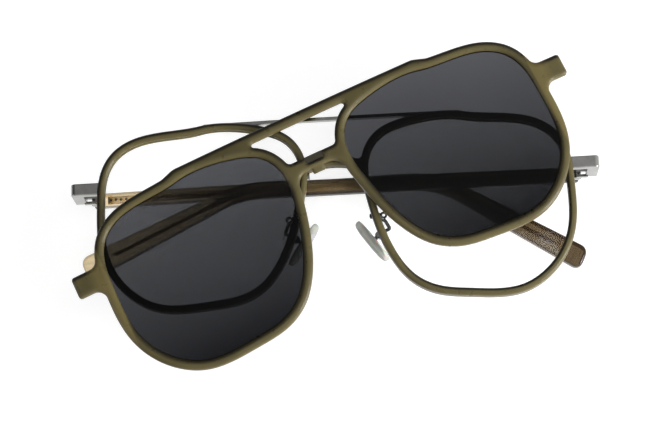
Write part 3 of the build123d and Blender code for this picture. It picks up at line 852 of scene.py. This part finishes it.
@dataclass
class Temple:
    """One folded temple: blade, core and the beads on the core.

    Its own places run along the blade from the pin, up it, and inward to the front. The slope is
    its fall towards the tip, the rise its turn upwards, the ear drop its bend, all in degrees.
    """

    side: Side
    pin: np.ndarray
    slope: float
    ear_drop: float
    rise: float
    length: float = 147 * MM
    straight: float = 90 * MM
    ear_radius: float = 30 * MM
    butt: float = 0.7 * MM
    inner_face: float = -1.5 * MM
    thick: float = 3.2 * MM
    height_start: float = 4.1 * MM
    height_ear: float = 4.7 * MM
    edge_round: float = 0.8 * MM
    tip_flare: float = 3.2
    tip_cut: float = 12.0
    tip_corner: float = 2.4 * MM
    butt_draw: float = 0.3
    end_draw: float = 0.999
    round_most: float = 0.98
    blade_stations: int = 180
    end_stations: int = 9
    core_start: float = 3.2 * MM
    core_end: float = 9.5 * MM
    core_width: float = 2.0 * MM
    core_tip_width: float = 1.1 * MM
    core_taper: float = 6 * MM
    core_thick: float = 0.8 * MM
    core_round: float = 0.12 * MM
    core_stations: int = 150
    bead_radius: float = 0.55 * MM
    bead_rise: float = 0.22 * MM
    bead_pitch: float = 1.5 * MM
    bead_from: float = 4.0 * MM
    bead_to: float = 62 * MM
    bead_around: int = 12
    bead_rings: int = 7
    bead_last_ring: float = 0.42
    along: np.ndarray = field(init=False)
    up: np.ndarray = field(init=False)
    inward: np.ndarray = field(init=False)
    middle: float = field(init=False)

    def __post_init__(self) -> None:
        """Works out the blade's own axes, along it, up it and towards the front, and its middle."""
        lean, fall = math.radians(self.rise), math.radians(self.slope)
        sign = -self.side.value
        level = np.array((sign * math.cos(fall), 0.0, -math.sin(fall)))
        upright = np.array((0.0, 1.0, 0.0))
        self.inward = np.array((sign * math.sin(fall), 0.0, math.cos(fall)))
        self.along = math.cos(lean) * level + math.sin(lean) * upright
        self.up = math.cos(lean) * upright - math.sin(lean) * level
        self.middle = self.inner_face - self.thick / 2

    def tip_run(self) -> float:
        """Straight length from the ear bend to the tip."""
        return self.length - self.straight - self.ear_radius * math.radians(self.ear_drop)

    def edge(self, distance: np.ndarray, half_start: float, half_ear: float, flare: float,
             run: float, start: float) -> np.ndarray:
        """Points along one long edge: straight, an arc round the ear, straight to the tip.

        Args:
            distance: share of the edge's length, 0 to 1.
            half_start, half_ear: height over the middle line at the butt and at the ear.
            flare: how much less than the blade this edge turns, in degrees.
            run: length from the bend to the tip.
            start: place of its first point along the blade.

        Returns:
            Along and up coordinates, one row for each share.
        """
        turn = math.radians(self.ear_drop - flare)
        radius = self.ear_radius + half_ear
        first = self.straight - start
        whole = first + radius * turn + run
        s = distance * whole
        angle = np.clip((s - first) / radius, 0, turn)
        x = start + np.minimum(s, first) + radius * np.sin(angle)
        y = (half_start + (half_ear - half_start) * np.minimum(s / first, 1)
             + radius * (np.cos(angle) - 1))
        beyond = np.maximum(s - first - radius * turn, 0)
        return np.stack([x + beyond * math.cos(turn), y - beyond * math.sin(turn)], -1)

    def place(self, along: np.ndarray, up: np.ndarray, inward: np.ndarray) -> np.ndarray:
        """Turns blade coordinates into places in the set.

        Args:
            along, up, inward: arrays of one shape, in metres from the pin.

        Returns:
            n by 3 places.
        """
        point = (self.pin + along[..., None] * self.along + up[..., None] * self.up
                 + inward[..., None] * self.inward)
        return point.reshape(-1, 3)

    def strip(self, top: np.ndarray, low: np.ndarray, drawn: np.ndarray, half_deep: np.ndarray,
              radius: np.ndarray) -> tuple[np.ndarray, np.ndarray]:
        """A closed bar between a top edge and a low edge, with rounded long edges.

        At each place the section is a rounded rectangle whose height is the distance from the
        low edge to the top edge, less what both are drawn in.

        Args:
            top, low: edge points, along and up.
            drawn: how far each edge is drawn in at each place.
            half_deep: half its thickness at each place.
            radius: radius of its long edges at each place.

        Returns:
            Points and faces.
        """
        centre, across = (top + low) / 2, (top - low) / 2
        half = np.linalg.norm(across, axis=1)
        across = across / half[:, None]
        wide, deep = rounded_section(half - drawn, half_deep, radius)
        along = centre[:, :1] + wide * across[:, :1]
        up = centre[:, 1:] + wide * across[:, 1:]
        points = self.place(along, up, self.middle + deep)
        ends = self.place(centre[[0, -1], 0], centre[[0, -1], 1], np.full(2, self.middle))
        return np.concatenate([points, ends]), tube_faces(len(top), wide.shape[1])

    def stations(self) -> np.ndarray:
        """Shares of the length, closer together at both ends where the section rounds off.

        Returns:
            Rising shares from 0 at the butt to 1 at the tip.
        """
        fine = 1 - np.cos(np.linspace(0, math.pi / 2, self.end_stations))
        tip = self.tip_corner / self.length
        butt = self.edge_round / self.length
        middle = np.linspace(butt, 1 - tip, self.blade_stations)
        return np.concatenate([fine[:-1] * butt, middle, 1 - fine[::-1][1:] * tip])

    def blade(self, material: Material) -> bpy.types.Object:
        """The see-through blade, its tip widened, cut askew and rounded.

        Near each end the corners follow quarter circles: the tip's own corner radius in height
        and the long edges' radius in thickness. The butt's are drawn in only in part, no end
        quite closes, and the long edges' radius stays under half the thickness.

        Args:
            material: its finish.

        Returns:
            The piece.
        """
        share = self.stations()
        cut = self.height_ear * math.sin(math.radians(self.tip_cut)) / 2
        top = self.edge(share, self.height_start / 2, self.height_ear / 2, self.tip_flare / 2,
                        self.tip_run() + cut, -self.butt)
        low = self.edge(share, -self.height_start / 2, -self.height_ear / 2, -self.tip_flare / 2,
                        self.tip_run() - cut, -self.butt)
        to_tip = (1 - share) * self.length

        def corner(distance: np.ndarray, radius: float) -> np.ndarray:
            """How far a quarter circle of the radius has drawn in at a distance from the end."""
            reach = np.clip(1 - distance / radius, 0, 1)
            return radius * (1 - np.sqrt(1 - reach ** 2))

        butt = self.butt_draw * corner(share * self.length, self.edge_round)
        drawn = self.end_draw * (corner(to_tip, self.tip_corner) + butt)
        thin = self.end_draw * (corner(to_tip, self.edge_round) + butt)
        half_deep = self.thick / 2 - thin
        radius = np.minimum(self.edge_round, self.round_most * half_deep)
        points, faces = self.strip(top, low, drawn, half_deep, radius)
        piece = make_piece(f"temple_blade_{self.side.word}", points, faces,
                           f"temple_{self.side.word}", material)
        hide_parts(f"temple_{self.side.word}")
        return piece

    def core(self, material: Material) -> bpy.types.Object:
        """The metal strip inside the blade, narrower past the ear bend.

        Args:
            material: its finish.

        Returns:
            The piece.
        """
        share = np.linspace(0, 1, self.core_stations)
        run = self.tip_run() - self.core_end
        wide = self.core_width / 2
        top = self.edge(share, wide, wide, 0, run, self.core_start)
        low = self.edge(share, -wide, -wide, 0, run, self.core_start)
        whole = self.straight - self.core_start + self.ear_radius * math.radians(self.ear_drop)
        past = np.clip((share * (whole + run) - whole) / self.core_taper, 0, 1)
        narrow = past * (self.core_width - self.core_tip_width) / 2
        points, faces = self.strip(top, low, narrow, np.full(len(share), self.core_thick / 2),
                                   np.full(len(share), self.core_round))
        piece = make_piece(f"temple_strip_{self.side.word}", points, faces,
                           f"temple_{self.side.word}", material)
        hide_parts(f"temple_core_{self.side.word}")
        return piece

    def beads(self, material: Material) -> bpy.types.Object:
        """A row of round beads that stand out of both wide faces of the core.

        Each bead is an ellipsoid about the core's middle: its radius along and up the blade, and
        out as far as its rise over the core's faces. Its last rings stop short of the poles.

        Args:
            material: its finish.

        Returns:
            The piece.
        """
        at = np.arange(self.bead_from, self.bead_to, self.bead_pitch)
        each = at[:, None, None]
        turn = np.linspace(0, 2 * math.pi, self.bead_around, endpoint=False)
        tilt = np.linspace(-math.pi, math.pi, self.bead_rings)[:, None] * self.bead_last_ring
        rise = self.core_thick / 2 + self.bead_rise
        along = each + self.bead_radius * np.cos(tilt) * np.cos(turn)
        up = 0 * each + self.bead_radius * np.cos(tilt) * np.sin(turn)
        rings = self.place(along, up, 0 * along + self.middle + rise * np.sin(tilt))
        ends = np.stack([self.place(at, 0 * at, 0 * at + self.middle + sign * rise)
                         for sign in (-1, 1)], 1)
        points = np.concatenate([rings.reshape(len(at), -1, 3), ends], 1)
        faces = tube_faces(self.bead_rings, self.bead_around)
        numbers = (np.arange(len(at)) * points.shape[1])[:, None, None] + faces[None]
        return make_piece(f"temple_beads_{self.side.word}", points.reshape(-1, 3),
                          numbers.reshape(-1, 4), f"temple_{self.side.word}",
                          material)

    def build(self, blade: Material, core: Material, bead: Material) -> None:
        """Builds the temple.

        Args:
            blade, core, bead: the finishes.
        """
        self.blade(blade)
        self.core(core)
        self.beads(bead)


@dataclass
class NosePad:
    """One soft nose pad round its stiff core.

    Splay and toe turn it, in degrees, and its middle stands off its pivot on the nose side.
    """

    side: Side
    pivot: np.ndarray
    across: np.ndarray
    normal: np.ndarray
    splay: float = 54.6
    toe: float = 8.0
    stand: float = 2.35 * MM
    half_length: float = 7 * MM
    half_width: float = 3.8 * MM
    back: float = 1.0 * MM
    front: float = 1.75 * MM
    outline_order: float = 2.6
    section_order: float = 3.4
    around: int = 72
    rings: int = 29
    down: np.ndarray = field(init=False)
    out: np.ndarray = field(init=False)
    wide: np.ndarray = field(init=False)

    def __post_init__(self) -> None:
        """Works out the pad's axes: down its length, out of its back, across it."""
        upward = np.cross(self.normal, self.across)
        turn, toe = math.radians(self.splay), math.radians(self.toe)
        sign = self.side.value
        self.down = sign * math.cos(turn) * self.across - math.sin(turn) * upward
        out = sign * math.sin(turn) * self.across + math.cos(turn) * upward
        self.out = math.cos(toe) * out + math.sin(toe) * self.normal
        self.wide = -math.sin(toe) * out + math.cos(toe) * self.normal

    def build(self, material: Material) -> bpy.types.Object:
        """A closed pillow: a blunt oval, crowned on the nose side.

        The outline is a superellipse. It shrinks to a point on each side as the surface rounds
        over, by a second superellipse between its share and the height.

        Args:
            material: its finish.

        Returns:
            The piece.
        """
        turn = np.linspace(0, 2 * math.pi, self.around, endpoint=False)
        tilt = np.linspace(-math.pi / 2, math.pi / 2, self.rings + 2)[1:-1]
        share = superellipse(np.cos(tilt), self.section_order)
        height = superellipse(np.sin(tilt), self.section_order)
        depth = np.where(height > 0, self.back, self.front) * height
        along = self.half_length * superellipse(np.cos(turn), self.outline_order)
        width = self.half_width * superellipse(np.sin(turn), self.outline_order)
        middle = self.pivot - self.out * self.stand
        points = (middle + (share[:, None] * along)[..., None] * self.down
                  + (share[:, None] * width)[..., None] * self.wide
                  + depth[:, None, None] * self.out).reshape(-1, 3)
        ends = np.stack([middle - self.out * self.front, middle + self.out * self.back])
        faces = tube_faces(self.rings, self.around)
        piece = make_piece(f"nose_pad_soft_{self.side.word}", np.concatenate([points, ends]),
                           faces, f"nose_pad_{self.side.word}", material)
        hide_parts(f"nose_pad_{self.side.word}")
        return piece


@dataclass(frozen=True)
class Lamp:
    """A square lamp that faces the middle of the set."""

    name: str
    place: tuple[float, float, float]
    side: float
    watts: float
    shine: bool = True

    def build(self) -> None:
        """Puts the lamp up, and keeps it out of reflections unless it may shine."""
        data = bpy.data.lights.new(self.name, "AREA")
        data.size = self.side
        data.energy = self.watts
        lamp = bpy.data.objects.new(self.name, data)
        lamp.visible_glossy = self.shine
        back = unit(self.place)
        upright = (0.0, 1.0, 0.001)     # askew, so that no lamp's back lies along it
        lamp.matrix_world = stands(unit(np.cross(upright, back)), back, self.place)
        bpy.context.scene.collection.objects.link(lamp)


@dataclass
class Studio:
    """Pale floor, soft lamps and the camera.

    Angles are in degrees, lens and sensor in millimetres. The camera looks at the front's face,
    pin_depth over the hinge pins and pin_rise below them. The shine sweep is a world that grows
    brighter towards the bright side, seen only in reflections.
    """

    placing: Placing
    azimuth: float = -2.7
    elevation: float = 75.0
    distance: float = 0.6
    lens: float = 115.8
    sensor: float = 36.0
    clip_start: float = 0.01
    pin_depth: float = 14.21 * MM
    pin_rise: float = 11.3 * MM
    aim_across: float = -1.03 * MM
    floor_half: float = 3.0
    floor_glow: float = 0.84
    floor_shade: float = 0.4
    world_light: float = 0.10
    bright_side: tuple[float, float, float] = (0.75, -0.55, 0.35)
    sweep_span: tuple[float, float] = (-0.2, 0.75)
    sweep_light: tuple[float, float] = (0.12, 1.0)
    lamps: tuple[Lamp, ...] = (Lamp("key", (0.62, -0.22, 0.36), 0.3, 5.5),
                               Lamp("side", (-0.70, -0.15, 0.34), 0.3, 0.8),
                               Lamp("fill", (0.1, -0.1, 1.1), 0.7, 3.0, shine=False))

    def aim(self) -> np.ndarray:
        """The point on the front's face that the camera looks at.

        Returns:
            Its place in metres.
        """
        p = self.placing
        face = p.middle + p.normal * self.pin_depth - np.array((0, self.pin_rise, 0))
        return face + p.across * self.aim_across

    def camera(self) -> None:
        """Puts the camera above the set, a little in front of it."""
        a, e = math.radians(self.azimuth), math.radians(self.elevation)
        back = np.array((math.sin(a) * math.cos(e), -math.cos(a) * math.cos(e), math.sin(e)))
        right = np.array((math.cos(a), math.sin(a), 0.0))
        data = bpy.data.cameras.new("camera")
        data.lens = self.lens
        data.sensor_width = self.sensor
        data.clip_start = self.clip_start
        camera = bpy.data.objects.new("camera", data)
        camera.matrix_world = stands(right, back, self.aim() + back * self.distance)
        bpy.context.scene.collection.objects.link(camera)
        bpy.context.scene.camera = camera

    def floor(self) -> None:
        """A wide pale table top that shows white and keeps a faint shadow."""
        mesh = bpy.data.meshes.new("floor")
        half = self.floor_half
        mesh.from_pydata([(-half, -half, 0), (half, -half, 0), (half, half, 0), (-half, half, 0)],
                         [], [(0, 1, 2, 3)])
        floor = bpy.data.objects.new("floor", mesh)
        g = Graph("table_white")
        path = g.add("LightPath")
        seen = g.math("MAXIMUM", path.outputs["Is Camera Ray"],
                      g.math("MAXIMUM", path.outputs["Is Glossy Ray"],
                             path.outputs["Is Transmission Ray"]))
        glow = g.add("Emission", Color=WHITE, Strength=g.math("MULTIPLY", seen, self.floor_glow))
        plain = g.add("BsdfDiffuse", Color=(self.floor_shade,) * 3 + (1.0,))
        both = g.pair(g.add("AddShader"), 0, plain.outputs[0], glow.outputs[0])
        mesh.materials.append(g.surface(both))
        bpy.context.scene.collection.objects.link(floor)

    def world(self) -> None:
        """White to the eye and through glass, a soft sweep from dark to white in a shine."""
        world = bpy.data.worlds.new("studio")
        g = Tree(world)
        path = g.add("LightPath")
        seen = g.math("MAXIMUM", path.outputs["Is Camera Ray"],
                      path.outputs["Is Transmission Ray"])
        turned = g.facing(g.add("TexCoord").outputs["Generated"], self.bright_side)
        sweep = g.span(turned, *self.sweep_span, *self.sweep_light)
        unseen = g.level(path.outputs["Is Glossy Ray"], self.world_light, sweep)
        background = g.add("Background", Color=WHITE, Strength=g.level(seen, unseen, 1.0))
        g.add("OutputWorld", Surface=background.outputs[0])
        bpy.context.scene.world = world

    def build(self) -> None:
        """Sets the whole studio."""
        bpy.context.scene.view_settings.view_transform = "Standard"
        self.world()
        self.floor()
        for lamp in self.lamps:
            lamp.build()
        self.camera()
        LOG.info("studio set")


@dataclass
class Finishes:
    """Every finish on the set, made once."""

    by_slot: dict[Slot, Material] = field(init=False)
    leaf: Material = field(init=False)
    bead: Material = field(init=False)

    def __post_init__(self) -> None:
        """Makes the materials."""
        finishes = {
            # Both olive finishes paint shade on upper edges and a glow on lower ones; the clip's pair of distances
            # places its painted highlight band.
            Slot.FRONT: OlivePlastic("front_olive", 1.0 * MM),
            Slot.CLIP: OlivePlastic("clip_olive", 1.9 * MM, (66.5 * MM, 69.5 * MM)),
            Slot.CLEAR_LENS: ClearLens("clear_coated"),
            Slot.SUN_LENS: TintedLens("sun_tint"),
            Slot.POLISHED: Metal("gunmetal", linear(172, 171, 168), 0.16),
            Slot.STEEL: Metal("turned_steel", linear(165, 165, 162), 0.2),
            Slot.DARK_METAL: Metal("dark_chrome", linear(95, 95, 96), 0.1),
            Slot.TEMPLE: AmberPlastic("champagne_brown"),
            Slot.CORE: Metal("bronze_core", linear(214, 192, 150), 0.3),
            Slot.PAD: SoftPad("pad_clear"),
            Slot.MAGNET: Metal("plated_magnet", linear(96, 93, 80), 0.42),
        }
        self.by_slot = {slot: finish.material() for slot, finish in finishes.items()}
        self.leaf = InlaidLeaf("inlaid_leaf").material()
        self.bead = Metal("bead_dark", linear(36, 29, 20), 0.45).material()

    def dress_nodes(self) -> None:
        """Dresses each CAD node from the slot that the record gives it."""
        for part in frame["record"]["subparts"]:
            leaf = part["node"].startswith("temple_hinge")
            dress(part["node"], self.leaf if leaf else self.by_slot[Slot(part["material_slot"])])


def main() -> None:
    """Builds the set's looks in order."""
    logging.basicConfig(level=logging.INFO, format="%(name)s: %(message)s")
    placing = Placing()
    finishes = Finishes()
    finishes.dress_nodes()
    pin = placing.pin
    temples = (Temple(Side.LEFT, pin[Side.LEFT], slope=0.0, ear_drop=33.0, rise=1.0),
               Temple(Side.RIGHT, pin[Side.RIGHT], slope=placing.right_fall(), ear_drop=25.0,
                      rise=0.0))
    for temple in temples:
        temple.build(finishes.by_slot[Slot.TEMPLE], finishes.by_slot[Slot.CORE], finishes.bead)
        pad = NosePad(temple.side, placing.pad_pivot[temple.side], placing.across, placing.normal)
        pad.build(finishes.by_slot[Slot.PAD])
    Studio(placing).build()


if __name__ == "__main__":
    main()
